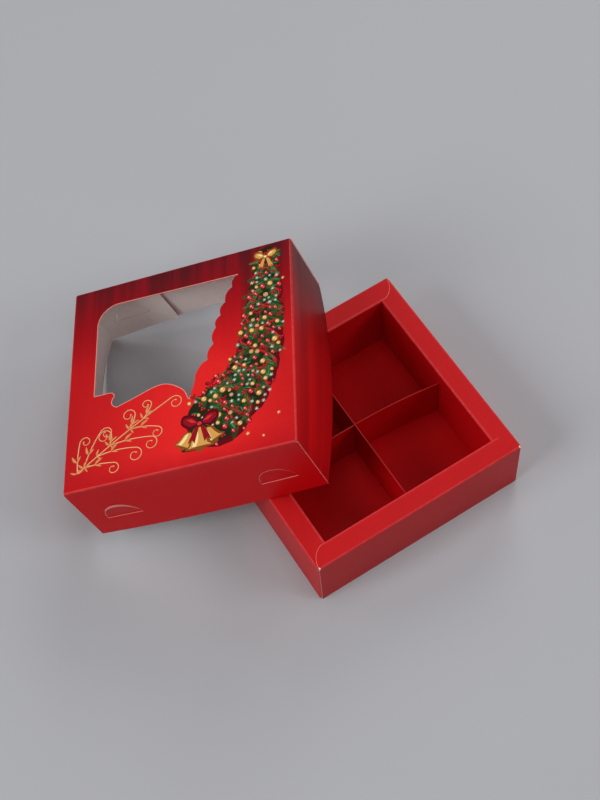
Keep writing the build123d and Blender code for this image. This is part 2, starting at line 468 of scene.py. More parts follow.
# Window in the lid's top, from the lid's left and back edges and as shares of its side
WINDOW_LEFT_MARGIN = 12.5 * MM
WINDOW_BACK_MARGIN = 11.5 * MM
WINDOW_CORNER_RADIUS = 10 * MM
SCALLOP_DEPTH = 1.3 * MM
SCALLOP_SHARES = ((0.263, 0.377), (0.238, 0.322), (0.206, 0.251), (0.185, 0.190), (0.164, 0.133),
                  (0.154, 0.054), (0.129, -0.018))
SHOULDER_SHARES = ((0.101, -0.033), (0.076, -0.074), (0.071, -0.112))
NOTCH_SHARE = (0.048, -0.188)
WAVE_SHARES = ((0.015, -0.127), (-0.076, -0.082), (-0.212, -0.120), (-0.276, -0.139))
HOOK_SHARES = ((-0.298, -0.117), (-0.288, -0.085))
CURL_SHARES = ((-0.294, -0.068), (-0.312, -0.061))


def smooth_line(points, steps):
    """Points of a smooth line through the given ones."""
    ends = [2 * points[0] - points[1], *points, 2 * points[-1] - points[-2]]
    line = []
    for before, start, end, after in zip(ends, ends[1:], ends[2:], ends[3:]):
        for step in range(steps):
            t = step / steps
            line.append(0.5 * (2 * start + (end - before) * t
                               + (2 * before - 5 * start + 4 * end - after) * t**2
                               + (3 * start - before - 3 * end + after) * t**3))
    line.append(points[-1])
    return line


def arc_through(start, middle, end, steps):
    """Points of a shallow arc through three places, without the last one."""
    peak = 2 * middle - (start + end) / 2
    return [start.lerp(peak, step / steps).lerp(peak.lerp(end, step / steps), step / steps)
            for step in range(steps)]


def window_outline():
    """Outline of the window, clockwise from its lower left."""
    side = 2 * LID_REACH
    scallops, shoulder, wave, hook, curl = (
        [Vector(share) * side for share in shares]
        for shares in (SCALLOP_SHARES, SHOULDER_SHARES, WAVE_SHARES, HOOK_SHARES, CURL_SHARES))
    notch = Vector(NOTCH_SHARE) * side
    left = -LID_REACH + WINDOW_LEFT_MARGIN
    top = LID_REACH - WINDOW_BACK_MARGIN
    centre = Vector((left + WINDOW_CORNER_RADIUS, top - WINDOW_CORNER_RADIUS))
    points = [Vector((left, curl[1].y))]
    for step in range(QUARTER_STEPS + 1):
        angle = math.pi - math.pi / 2 * step / QUARTER_STEPS
        points.append(centre + WINDOW_CORNER_RADIUS * toward(angle))
    for start, end in zip(scallops, scallops[1:]):
        bulge = left_of(start - end).normalized() * SCALLOP_DEPTH
        points += arc_through(start, (start + end) / 2 + bulge, end, steps=8)
    points += smooth_line([scallops[-1], *shoulder, notch], steps=5)[:-1]
    points += smooth_line([notch, *wave], steps=8)[:-1]
    points += arc_through(wave[-1], hook[0], hook[1], steps=6)
    points += arc_through(hook[1], curl[0], curl[1], steps=5)
    return points + [curl[1]]


# Shades of the board's marks, as shares of its colour, and of its tooth's height
DULL_SHARE, SPECK_SHARE, TOOTH_SHARE = 0.86, 0.90, 0.05
WARM_SHARES = (0.93, 0.90, 0.88)
WALL_SHARES = (0.92, 0.30, 0.40, 1.0)

# Gloss and roughness of the board's surfaces
COATED_GLOSS, DIVIDER_GLOSS, BARE_GLOSS, PRINT_GLOSS = 0.22, 0.08, 0.3, 0.15
TRAY_ROUGHNESS, DIVIDER_ROUGHNESS, BARE_ROUGHNESS = 0.44, 0.50, 0.78
GRAIN_DEPTH = 0.6 * MM
WAVE_SCALE = 34.0


def make_nodes(name, gloss):
    """Nodes and shader of a new material."""
    made = bpy.data.materials.new(name)
    made.use_nodes = True
    shader = made.node_tree.nodes["Principled BSDF"]
    shader.inputs["Specular IOR Level"].default_value = gloss
    return made.node_tree, shader


def feed(tree, socket, value):
    """Join an input to an output, or give it a value."""
    if isinstance(value, bpy.types.NodeSocket):
        tree.links.new(value, socket)
    else:
        socket.default_value = value


def node(tree, kind, inputs=(), **values):
    """Outputs of a new node with the given inputs and settings."""
    made = tree.nodes.new(kind)
    for key, value in values.items():
        setattr(made, key, value)
    for key, value in dict(inputs).items():
        feed(tree, made.inputs[key], value)
    return made.outputs


def ramp(tree, factor, stops):
    """A colour ramp with the given places and colours."""
    made = tree.nodes.new("ShaderNodeValToRGB")
    feed(tree, made.inputs["Fac"], factor)
    elements = made.color_ramp.elements
    while len(elements) < len(stops):
        elements.new(0.5)
    for element, (place, colour) in zip(elements, stops):
        element.position = place
        element.color = colour
    return made.outputs["Color"]


def greys(tree, factor, *stops):
    """A ramp of greys with the given places and values."""
    return ramp(tree, factor, [(place, (value, value, value, 1.0)) for place, value in stops])


def mix(tree, factor, first, second, blend="MIX"):
    """Mix of two colours."""
    return node(tree, "ShaderNodeMix", {0: factor, 6: first, 7: second}, data_type="RGBA",
                blend_type=blend)[2]


def math_node(tree, operation, first, second, clamp=False):
    """Arithmetic on two values."""
    return node(tree, "ShaderNodeMath", {0: first, 1: second}, operation=operation,
                use_clamp=clamp)[0]


def times(tree, first, second, clamp=False):
    """Product of two values."""
    return math_node(tree, "MULTIPLY", first, second, clamp)


def noise(tree, place, scale, detail=3.0, roughness=0.5):
    """Soft noise at a place."""
    return node(tree, "ShaderNodeTexNoise", {
        "Vector": place, "Scale": scale, "Detail": detail, "Roughness": roughness})["Fac"]


def stretched(tree, place, across, upward):
    """A place of the flat pattern, scaled by other amounts across and upward."""
    scale = (across, upward, 1.0)
    return node(tree, "ShaderNodeMapping", {"Vector": place, "Scale": scale})["Vector"]


def own_place(tree):
    """Place in the object's own space."""
    return node(tree, "ShaderNodeTexCoord")["Object"]


def opaque(colour, share=1.0):
    """A colour made darker to a share, without transparency."""
    return (*(value * share for value in colour), 1.0)


def speckled(tree, colour, specks, start, end):
    """A colour that is a little darker between its specks."""
    return mix(tree, 1.0, colour, greys(tree, specks, (start, SPECK_SHARE), (end, 1.0)), "MULTIPLY")


def inked(tree, colour):
    """A colour under the sheet's inks."""
    ink = node(tree, "ShaderNodeAttribute", attribute_name="ink")
    return mix(tree, ink["Alpha"], colour, ink["Color"])


def crease_wear_and_sheen(tree, place, scale, strength):
    """How far the creases are painted lighter: worn colour, and a painted highlight along their
    bends.
    """
    creased = node(tree, "ShaderNodeAttribute", attribute_name="creased")["Fac"]
    return times(tree, creased, times(tree, noise(tree, place, scale, 4.0), strength), clamp=True)


def paint(tree, shader, colour, roughness):
    """Give a shader its colour and its roughness, each a value or an output."""
    feed(tree, shader.inputs["Base Color"], colour)
    feed(tree, shader.inputs["Roughness"], roughness)


def span(tree, factor, low, high):
    """A value between two limits."""
    limits = {"Value": factor, "To Min": low, "To Max": high}
    return node(tree, "ShaderNodeMapRange", limits)["Result"]


def add_grain(tree, shader, place, scale, strength):
    """Fine tooth of the board's surface, and the slow waviness of a thin sheet."""
    tooth = times(tree, noise(tree, place, scale, 4.0, 0.65), TOOTH_SHARE)
    height = math_node(tree, "ADD", tooth, noise(tree, place, WAVE_SCALE, 1.0))
    bump = node(tree, "ShaderNodeBump", {
        "Height": height, "Strength": strength, "Distance": GRAIN_DEPTH})
    feed(tree, shader.inputs["Normal"], bump["Normal"])


def coated_board(name, colour, roughness, gloss, marked=True):
    """Red coated board: faint mottling and fine grain, the marks of its edges, and its creases
    painted lighter as worn coating and a painted highlight.
    """
    tree, shader = make_nodes(name, gloss)
    place = own_place(tree)
    mottled = mix(tree, noise(tree, place, 60.0, 4.0), opaque(colour, DULL_SHARE), opaque(colour))
    fibres = noise(tree, place, 900.0, 3.0, 0.7)
    surface = speckled(tree, mottled, fibres, 0.3, 0.62)
    if marked:
        # Creases painted lighter: worn coating, and a painted highlight along their bends
        worn_and_sheen_colour = opaque([min(1.0, value * 1.25 + 0.08) for value in colour])
        worn = crease_wear_and_sheen(tree, place, 420.0, 0.62)
        surface = inked(tree, mix(tree, worn, surface, worn_and_sheen_colour))
    paint(tree, shader, surface, span(tree, fibres, roughness - 0.05, roughness + 0.07))
    add_grain(tree, shader, place, 1500.0, 0.18)


def bare_board(name, colour):
    """Uncoated board or its cut edge: pale fibres with a faint warm mottling."""
    tree, shader = make_nodes(name, BARE_GLOSS)
    place = own_place(tree)
    warm = opaque([value * share for value, share in zip(colour, WARM_SHARES)])
    mottled = mix(tree, noise(tree, place, 90.0, 5.0), warm, opaque(colour))
    fibres = noise(tree, place, 1400.0, 4.0, 0.7)
    paint(tree, shader, speckled(tree, mottled, fibres, 0.35, 0.62), BARE_ROUGHNESS)
    add_grain(tree, shader, place, 1100.0, 0.22)


def printed_board(name, colours):
    """The lid's print: a red ground that darkens to the back in soft folds, under the inks."""
    tree, shader = make_nodes(name, PRINT_GLOSS)
    place = own_place(tree)
    pattern = node(tree, "ShaderNodeUVMap", uv_map="sheet")["UV"]
    parts = node(tree, "ShaderNodeSeparateXYZ", {"Vector": pattern})
    across, upward = parts["X"], parts["Y"]
    # Places in the flat pattern: 0.24 is the front edge of the top, 0.76 its back and right edges
    bright, red, deep, dark, wall = (
        opaque(getattr(colours, "print_" + key))
        for key in ("bright", "red", "deep", "dark", "wall"))
    duller = opaque(colours.print_red, DULL_SHARE)
    drift = noise(tree, stretched(tree, pattern, 3.0, 1.5), 2.2, 2.0)
    soft = times(tree, math_node(tree, "SUBTRACT", drift, 0.5), 0.12)
    height = math_node(tree, "ADD", upward, soft)
    middle = ramp(tree, height, (
        (0.20, wall), (0.24, red), (0.29, bright), (0.47, bright), (0.56, red), (0.67, deep),
        (0.75, dark)))
    margin = ramp(tree, height, (
        (0.20, wall), (0.25, duller), (0.54, duller), (0.67, deep), (0.78, dark)))
    sideways = greys(
        tree, across, (0.24, 0.0), (0.36, 0.45), (0.50, 1.0), (0.64, 0.9), (0.75, 0.35))
    folded = mix(tree, sideways, margin, middle)
    # Folds of a hanging cloth: light and dark streaks along the flat pattern's upward direction
    streaks = noise(tree, stretched(tree, pattern, 30.0, 0.8), 1.0, 4.0, 0.6)
    for streak, rise, tone in (
            (((0.44, 0.0), (0.68, 1.0)), ((0.56, 0.0), (0.74, 0.8)), linear(146, 20, 34)),
            (((0.34, 1.0), (0.52, 0.0)), ((0.40, 0.0), (0.70, 0.75)), dark)):
        share = times(tree, greys(tree, streaks, *streak), greys(tree, upward, *rise))
        folded = mix(tree, share, folded, tone)
    # The right wall's print is deeper, and shaded in broad folds
    broad = noise(tree, stretched(tree, pattern, 16.0, 0.7), 1.0, 2.0)
    wall_red = mix(tree, 1.0, folded, greys(tree, broad, (0.34, 0.58), (0.60, 0.95)), "MULTIPLY")
    wall_red = mix(tree, 1.0, wall_red, WALL_SHARES, "MULTIPLY")
    folded = mix(tree, greys(tree, across, (0.757, 0.0), (0.768, 1.0)), folded, wall_red)
    dots = noise(tree, place, 1600.0, 3.0, 0.7)
    screened = speckled(tree, inked(tree, folded), dots, 0.3, 0.6)
    # Creases painted lighter: worn print, and a painted highlight along their bends
    worn = mix(tree, crease_wear_and_sheen(tree, place, 380.0, 0.55), screened, linear(236, 84, 78))
    paint(tree, shader, worn, span(tree, dots, 0.34, 0.44))
    add_grain(tree, shader, place, 1300.0, 0.15)


# Finishes of the outside, the inside and the cut edge of each board
LID_FINISHES = ("festive_print", "bare_inside", "pale_cut_edge")
TRAY_FINISHES = ("red_coating", "red_coating", "pink_cut_edge")
DIVIDER_FINISHES = ("divider_coating", "divider_coating", "red_cut_edge")

# Inks of the print
FIR_DARK = (linear(16, 44, 24), linear(22, 54, 28), linear(30, 48, 22))
FIR_MIDDLE = (linear(30, 88, 42), linear(24, 74, 36), linear(46, 98, 48))
FIR_LIGHT = (linear(78, 132, 74), linear(62, 118, 66))
HOLLY_GREENS = (linear(20, 84, 44), linear(14, 64, 34))
HOLLY_LIGHT = linear(92, 150, 96)
GOLD_TONES = (linear(255, 228, 160), linear(222, 164, 84), linear(138, 78, 30))
RED_TONES = (linear(248, 132, 120), linear(184, 20, 36), linear(88, 8, 20))
COPPER_TONES = (linear(255, 196, 150), linear(200, 92, 52), linear(104, 34, 22))
RIBBON_TONES = (linear(214, 52, 56), linear(150, 16, 30), linear(92, 8, 20))
SCROLL_TONES = (linear(255, 206, 160), linear(226, 146, 92), linear(170, 76, 42))
SNOW = linear(226, 228, 212)
TWIG = linear(58, 36, 20)
SHADOW = linear(96, 12, 20)
CORE = (linear(34, 40, 20), linear(52, 24, 20), linear(22, 44, 24))

# Worn print: its colours, its widths along cut edges, and where the window's edge is worn
WORN_EDGE = linear(236, 158, 146)
WORN_RIM = linear(224, 96, 92)
WORN_WHITE = linear(250, 222, 214)
WINDOW_WEAR, TAB_WEAR, RIM_WEAR, TIP_WEAR = 0.6 * MM, 0.4 * MM, 0.5 * MM, 0.7 * MM
WORN_RIGHT, WORN_BACK = 6 * MM, 40 * MM


def ellipse(middle, half_width, half_height, angle=0.0, steps=16):
    """Outline of an ellipse."""
    turned = Matrix.Rotation(angle, 2)
    return [middle + turned @ Vector((half_width * math.cos(2 * math.pi * step / steps),
                                      half_height * math.sin(2 * math.pi * step / steps)))
            for step in range(steps)]


def disc(middle, radius, steps=16):
    """Outline of a disc."""
    return ellipse(middle, radius, radius, 0.0, steps)


def stroke(line, widths, colour):
    """A pen stroke along a line, as short pieces that may cross one another."""
    sides = []
    for index, point in enumerate(line):
        heading = line[min(index + 1, len(line) - 1)] - line[max(index - 1, 0)]
        heading.normalize()
        half = left_of(heading) * widths[index] / 2
        sides.append((point + half, point - half))
    return [([a, b, d, c], colour) for (a, b), (c, d) in zip(sides, sides[1:])]


def band(line, width, colour):
    """A stroke of even width."""
    return stroke(line, [width] * len(line), colour)


def edge_wear(outline, width, colour=WORN_EDGE):
    """A narrow band of worn print along a cut edge."""
    return band([Vector(point) for point in outline], width, colour)


# Needles of a sprig: taper toward the tip, and width at the root and sweep as shares
SPRIG_TAPER, NEEDLE_ROOT, NEEDLE_SWEEP, SPRIG_TIP = 0.72, 0.14, 0.16, 1.05
TWIG_WIDTHS, MIDRIB_WIDTHS = (0.4 * MM, 0.15 * MM), (0.25 * MM, 0.1 * MM)
LEAF_STEPS = 8
LEAF_WIDTH, LEAF_HOLLOW, LEAF_LIGHT = 0.30, 0.62, 0.45


def fir_sprig(start, angle, length, spread, greens, rng, teeth=7):
    """A fir sprig: a comb of needles on both sides of a bent twig."""
    bend = rng.uniform(-0.5, 0.5)
    spine = toward(angle + bend / 2)
    sides = {1: [], -1: []}
    for tooth in range(teeth):
        t = tooth / teeth
        point = start + spine * length * t
        forward = toward(angle + bend * t)
        for side in (1, -1):
            out = left_of(forward) * side
            reach = spread * (1.05 - SPRIG_TAPER * t) * rng.uniform(0.8, 1.1)
            sides[side] += [point + out * reach * NEEDLE_ROOT,
                            point + forward * length * NEEDLE_SWEEP + out * reach]
    tip = start + spine * length * SPRIG_TIP
    outline = [*sides[-1], tip, *reversed(sides[1])]
    twig = stroke([start, start.lerp(tip, 0.6)], TWIG_WIDTHS, TWIG)
    return [(outline, rng.choice(greens)), *twig]


def holly_leaf(start, angle, length, rng):
    """A holly leaf with spiny sides, a light half and a midrib."""
    forward = toward(angle)
    across = left_of(forward)
    sides = {side: [
        start + forward * length * step / LEAF_STEPS
        + across * side * length * LEAF_WIDTH * (1.0 if step % 2 else LEAF_HOLLOW)
        * math.sin(math.pi * (0.1 + 0.85 * step / LEAF_STEPS))
        for step in range(1, LEAF_STEPS)] for side in (1, -1)}
    tip = start + forward * length
    half = [start, *[point.lerp(start.lerp(tip, (index + 1) / LEAF_STEPS), LEAF_LIGHT)
                     for index, point in enumerate(sides[1])], tip]
    outline = [start, *sides[-1], tip, *reversed(sides[1])]
    return [(outline, rng.choice(HOLLY_GREENS)), (half, HOLLY_LIGHT),
            *stroke([start, tip], MIDRIB_WIDTHS, FIR_MIDDLE[2])]


# Round spots on baubles, berries and knots: a direction and the place along it, half width and
# half height, all in radii, then the turn, the number of points and the tone
GLOW = (-0.35, 0.4)
BAUBLE_SPOTS = (
    (GLOW, 0.0, 1.0, 1.0, 0.0, 16, 2),
    (GLOW, 0.2, 0.82, 0.82, 0.0, 16, 1),
    (GLOW, -0.8, 0.40, 0.16, 0.85, 10, 0),
    (GLOW, 0.75, 0.42, 0.34, 0.8, 12, 0),
    (GLOW, 1.0, 0.17, 0.14, 0.0, 8, 3),
)
BERRY_SPOTS = (
    ((0.0, 0.0), 1.0, 1.0, 1.0, 0.0, 12, 2),
    ((-0.1, 0.14), 1.0, 0.8, 0.8, 0.0, 12, 1),
    ((-0.3, 0.35), 1.0, 0.26, 0.22, 0.0, 8, 0),
)
CAP_CORNERS = ((0.86, 0.28), (0.86, -0.28), (1.25, -0.22), (1.25, 0.22))


def spots(middle, radius, table, tones):
    """Round spots drawn over one another."""
    return [
        (ellipse(middle + Vector(way) * radius * along, radius * wide, radius * high, turn, steps),
         tones[tone]) for way, along, wide, high, turn, steps, tone in table]


def bauble(middle, radius, tones, angle):
    """A round ornament with its cap, shade, glow and highlight."""
    up = toward(angle)
    side = left_of(up) * radius
    cap = [middle + up * radius * height + side * aside for height, aside in CAP_CORNERS]
    return [(cap, GOLD_TONES[2]), *spots(middle, radius, BAUBLE_SPOTS, (*tones, SNOW))]


def orange_slice(middle, radius, angle):
    """A dried orange slice: rind, flesh and its segments."""
    made = [(disc(middle, radius), COPPER_TONES[2]), (disc(middle, radius * 0.86), GOLD_TONES[0]),
            (disc(middle, radius * 0.74), COPPER_TONES[1])]
    for count in range(6):
        end = middle + toward(angle + count * math.pi / 3) * radius * 0.74
        made += band([middle, end], radius * 0.10, GOLD_TONES[0])
    return made


def berries(middle, radius, rng):
    """Three holly berries."""
    made = []
    for count in range(3):
        way = toward(2 * math.pi * count / 3 + rng.uniform(-0.3, 0.3))
        made += spots(middle + way * radius * 1.05, radius, BERRY_SPOTS, RED_TONES)
    return made


# Corners of one arm of a snowflake: share of its radius, and turn in arms
SNOWFLAKE_ARM = ((1.0, -0.07), (1.0, 0.07), (0.56, 0.2), (0.22, 0.5), (0.56, 0.8))


def snowflake(middle, radius, angle, colour=SNOW):
    """A small six-armed snowflake."""
    return [([middle + toward(angle + (count + offset) * math.pi / 3) * radius * share
              for count in range(6) for share, offset in SNOWFLAKE_ARM], colour)]


def placed(shape, middle, size, angle):
    """A shape given round the origin, moved to its place."""
    turned = Matrix.Rotation(angle, 2)
    return [middle + turned @ (Vector(point) * size) for point in shape]


# A bell and half a ribbon bow, drawn round the origin: outlines and the tone of each
BELL_SIDE = ((0.10, 0.96), (0.24, 0.88), (0.31, 0.70), (0.35, 0.45), (0.43, 0.22), (0.56, 0.10),
             (0.58, 0.02))
BELL_SHAPES = (
    (disc(Vector((0.0, -0.02)), 0.13), 2),
    (BELL_SIDE + tuple((-x, y) for x, y in reversed(BELL_SIDE)), 2),
    (((0.04, 0.92), (0.17, 0.80), (0.22, 0.45), (0.30, 0.20), (0.46, 0.08), (-0.46, 0.08),
      (-0.36, 0.22), (-0.29, 0.45), (-0.25, 0.70), (-0.16, 0.86)), 1),
    (((-0.08, 0.88), (-0.04, 0.60), (-0.08, 0.30), (-0.16, 0.12), (-0.30, 0.14), (-0.24, 0.40),
      (-0.20, 0.70)), 0),
    (ellipse(Vector((0.0, 0.05)), 0.54, 0.06), 2),
)
KNOT_SPOTS = (
    ((0.0, 0.0), 1.0, 0.19, 0.16, 0.0, 16, 2),
    ((-0.02, 0.03), 1.0, 0.13, 0.11, 0.0, 16, 0),
)
BOW_SHAPES = (
    (((0.0, 0.0), (0.30, 0.52), (0.86, 0.66), (1.0, 0.20), (0.60, -0.22)), 2),
    (((0.08, 0.04), (0.36, 0.42), (0.80, 0.50), (0.86, 0.22), (0.52, -0.06)), 1),
    (((0.16, 0.12), (0.42, 0.36), (0.70, 0.40), (0.44, 0.16)), 0),
    (((0.0, 0.0), (0.24, -0.18), (0.62, -0.98), (0.40, -0.86), (0.26, -1.06)), 1),
)


def bell(middle, size, angle):
    """A gold bell with its clapper and its mouth."""
    return [(placed(shape, middle, size, angle), GOLD_TONES[tone]) for shape, tone in BELL_SHAPES]


def ribbon_bow(middle, size, tones, angle=0.0):
    """A ribbon bow with two loops and two tails."""
    made = []
    for turn in (1, -1):
        for shape, tone in BOW_SHAPES:
            side = [Vector((x * turn, y)) for x, y in shape]
            if len(shape) == 5:
                side = smooth_line(side, steps=3)
            made.append((placed(side, middle, size, angle), tones[tone]))
    return made + spots(middle, size, KNOT_SPOTS, tones)


# The stem of a filigree scroll in the lid's front left corner: its start as shares of the lid's
# side, its heading, length, bend, and the radius, turn and side of the curl at its end
STEM = (-0.438, -0.418, 0.64, 0.480, -0.14, 0.032, 7.6, -1)
# Branches of the scroll: share of the way along the stem, heading off the stem's, then as above
BRANCHES = (
    (0.02, 1.05, 0.140, -0.25, 0.026, 7.0, -1),
    (0.12, 0.70, 0.165, -0.30, 0.030, 7.2, -1),
    (0.10, -0.50, 0.130, -0.30, 0.028, 7.0, -1),
    (0.24, -0.35, 0.170, -0.45, 0.034, 7.2, -1),
    (0.40, 0.60, 0.045, 0.50, 0.033, 7.4, 1),
    (0.42, -0.40, 0.180, -0.35, 0.032, 7.2, -1),
    (0.58, 0.45, 0.060, 0.40, 0.031, 7.2, 1),
    (0.62, -0.45, 0.125, -0.45, 0.027, 7.0, -1),
    (0.78, 0.30, 0.060, 0.35, 0.024, 7.0, 1),
)
STEM_STEPS, CURL_STEPS = 14, 30
CURL_SHRINK = 0.7
PEN_TAPER, PEN_DOT = 0.55, 0.75


def tendril(x, y, heading, length, bend, radius, turn, side):
    """A line that bends along its length and ends in a spiral curl."""
    point, angle, line = Vector((x, y)), heading, []
    for _ in range(STEM_STEPS):
        line.append(point.copy())
        angle += bend / STEM_STEPS
        point += toward(angle) * length / STEM_STEPS
    for step in range(CURL_STEPS):
        line.append(point.copy())
        point += toward(angle) * radius * (1 - CURL_SHRINK * step / CURL_STEPS) * turn / CURL_STEPS
        angle += side * turn / CURL_STEPS
    return [place * 2 * LID_REACH for place in line]


def pen(line, width, colour, offset=(0.0, 0.0)):
    """A pen stroke that thins toward its end and closes with a dot."""
    count = len(line) - 1
    moved = [point + Vector(offset) * MM for point in line]
    widths = [width * (1 - PEN_TAPER * index / count) for index in range(count + 1)]
    return stroke(moved, widths, colour) + [(disc(moved[-1], width * PEN_DOT, 10), colour)]


def scroll():
    """The gold scroll with its leaves."""
    light, main, deep = SCROLL_TONES
    stem_heading, stem_bend = STEM[2], STEM[4]
    lines, leaves = [tendril(*STEM)], []
    for share, off, *rest in BRANCHES:
        place = lines[0][int(share * STEM_STEPS)] / (2 * LID_REACH)
        heading = stem_heading + stem_bend * share + off
        lines.append(tendril(place.x, place.y, heading, *rest))
        for turn, length in ((0.55, 4.6), (-0.5, 3.6)):
            leaves.append((lines[-1][5], heading + turn, length * MM))
            leaves.append((lines[-1][0], heading + turn * 2.1, length * 0.8 * MM))
    made = []
    for line in lines:
        made += pen(line, 0.62 * MM, deep, (0.16, -0.20))
        made += pen(line, 0.54 * MM, main)
    for line in lines:
        made += pen(line, 0.20 * MM, light, (-0.08, 0.10))
    for start, angle, length in leaves:
        forward = toward(angle) * length
        across = left_of(forward)
        for swell, tone in ((0.26, deep), (0.19, main)):
            outline = smooth_line([
                start, start + forward * 0.45 + across * swell, start + forward,
                start + forward * 0.50 - across * swell * 0.3, start], steps=4)[:-1]
            made.append((outline, tone))
    return made


# Middle line of the garland, from the back edge to the front, as shares of the lid's side
GARLAND_SHARES = ((0.392, 0.452), (0.385, 0.340), (0.378, 0.200), (0.362, 0.050), (0.325, -0.090),
                  (0.262, -0.205), (0.170, -0.290))
GARLAND_TOP, GARLAND_FOOT = 4.0 * MM, 15.0 * MM
RIBBON_SWINGS, RIBBON_REACH = 8.5, 0.86
GARLAND_SWELL, GARLAND_WAVER, WAVER_TURN = 0.85, 0.07, 1.3
SHADOW_SHARE, CORE_SHARE = 0.94, 0.84
SHADOW_SHIFT = Vector((0.9, -1.2)) * MM

# Bands of the ribbon round it: shift and width in mm, and tone
RIBBON_BANDS = (((0.0, 0.0), 1.9, 2), ((0.0, 0.0), 1.4, 1), ((-0.25, 0.3), 0.4, 0))

# Ornaments: how far among all of them each kind reaches, their gap and the places tried
GOLD_BAUBLES, RED_BAUBLES, SLICES, BOWS, BERRIES = 0.18, 0.50, 0.56, 0.64, 0.80
ORNAMENT_GAP = 0.35 * MM
ORNAMENT_TRIES = 2600


def sprigs(rng, line, headings, halves, greens, amount, inner, outer, spread):
    """A layer of fir sprigs along the garland, between two shares of its half width."""
    layer = []
    for point, heading, half in zip(line, headings, halves):
        for _ in range(round(amount * (1 + half / (5 * MM)))):
            side = rng.choice((1, -1))
            angle = heading + side * rng.uniform(0.2, 1.3)
            start = point + toward(heading + side * math.pi / 2) * half * rng.uniform(inner, outer)
            layer.append(fir_sprig(start, angle, rng.uniform(3.0, 5.2) * MM,
                                   spread * MM * rng.uniform(0.8, 1.15), greens, rng))
    rng.shuffle(layer)
    return [shape for sprig in layer for shape in sprig]


def wound_ribbon(line, headings, halves, phase):
    """A ribbon that swings from side to side of the garland, with its shade and its light."""
    ribbon = []
    for index, (point, heading, half) in enumerate(zip(line, headings, halves)):
        swing = math.sin(index / (len(line) - 1) * RIBBON_SWINGS * math.pi + phase)
        ribbon.append(point + toward(heading + math.pi / 2) * half * RIBBON_REACH * swing)
    made = []
    for shift, width, tone in RIBBON_BANDS:
        moved = [point + Vector(shift) * MM for point in smooth_line(ribbon, steps=2)]
        made += band(moved, width * MM, RIBBON_TONES[tone])
    return made


def ornaments(rng, line, halves):
    """Baubles, orange slices, bows, berries and snowflakes, none upon another."""
    made, taken = [], []
    for _ in range(ORNAMENT_TRIES):
        index = min(len(line) - 1, int((rng.random() ** 0.62) * len(line)))
        way = toward(rng.uniform(0, 2 * math.pi))
        point = line[index] + way * halves[index] * math.sqrt(rng.random())
        kind = rng.random()
        large = kind < BOWS
        radius = rng.uniform(0.9, 1.55) * MM if large else rng.uniform(0.45, 0.65) * MM
        room = radius if large else radius * 1.7
        if any((point - other).length < room + reach + ORNAMENT_GAP for other, reach in taken):
            continue
        taken.append((point, room))
        if kind < RED_BAUBLES:
            tones = GOLD_TONES if kind < GOLD_BAUBLES else RED_TONES
            made += bauble(point, radius, tones, math.pi / 2 + rng.uniform(-0.6, 0.6))
        elif kind < SLICES:
            made += orange_slice(point, radius * 0.9, rng.uniform(0, 1))
        elif large:
            made += ribbon_bow(point, radius * 1.5, RIBBON_TONES, rng.uniform(-0.5, 0.5))
        elif kind < BERRIES:
            made += berries(point, radius, rng)
        else:
            made += snowflake(point, radius * 1.6, rng.uniform(0, 1))
    return made


def garland():
    """A hanging garland of fir and holly, wound with ribbon and hung with ornaments."""
    rng = random.Random(41)
    line = smooth_line([Vector(point) * 2 * LID_REACH for point in GARLAND_SHARES], steps=9)
    count = len(line) - 1
    halves = [(GARLAND_TOP + (GARLAND_FOOT - GARLAND_TOP) * (index / count) ** GARLAND_SWELL)
              * (1 + GARLAND_WAVER * math.sin(WAVER_TURN * index)) for index in range(count + 1)]
    headings = [math.atan2(after.y - before.y, after.x - before.x)
                for before, after in zip([line[0], *line[:-1]], [*line[1:], line[-1]])]
    way = (line, headings, halves)
    made = [(disc(line[index] + SHADOW_SHIFT, halves[index] * SHADOW_SHARE), SHADOW)
            for index in range(0, count + 1, 3)]
    made += [(disc(line[index], halves[index] * CORE_SHARE), CORE[index // 2 % len(CORE)])
             for index in range(0, count + 1, 2)]
    made += sprigs(rng, *way, FIR_DARK, amount=1.5, inner=-0.2, outer=0.74, spread=2.1)
    made += wound_ribbon(*way, phase=0.0) + wound_ribbon(*way, phase=math.pi)
    made += sprigs(rng, *way, FIR_MIDDLE, amount=1.0, inner=-0.1, outer=0.80, spread=1.8)
    for index in range(2, count, 3):
        for turn in (1, -1):
            angle = headings[index] + turn * rng.uniform(0.8, 2.0)
            start = line[index] + toward(angle) * halves[index] * rng.uniform(0.1, 0.7)
            made += holly_leaf(start, angle, rng.uniform(3.2, 4.4) * MM, rng)
    made += sprigs(rng, *way, FIR_LIGHT, amount=0.35, inner=0.0, outer=0.82, spread=1.0)
    return made + ornaments(rng, line, halves)


# Gold snowflakes beside the garland: place as shares of the lid's side, and size in mm. Bells at
# its foot: place and size in mm, and turn
GOLD_FLAKES = (
    (0.462, 0.300, 0.8), (0.300, -0.415, 0.9), (0.430, -0.350, 0.8), (0.365, -0.440, 0.7))
GARLAND_BELLS = ((7.6, -9.6, 8.6, 0.52), (-7.4, -10.0, 8.2, -0.50), (0.6, -12.0, 11.4, 0.04))


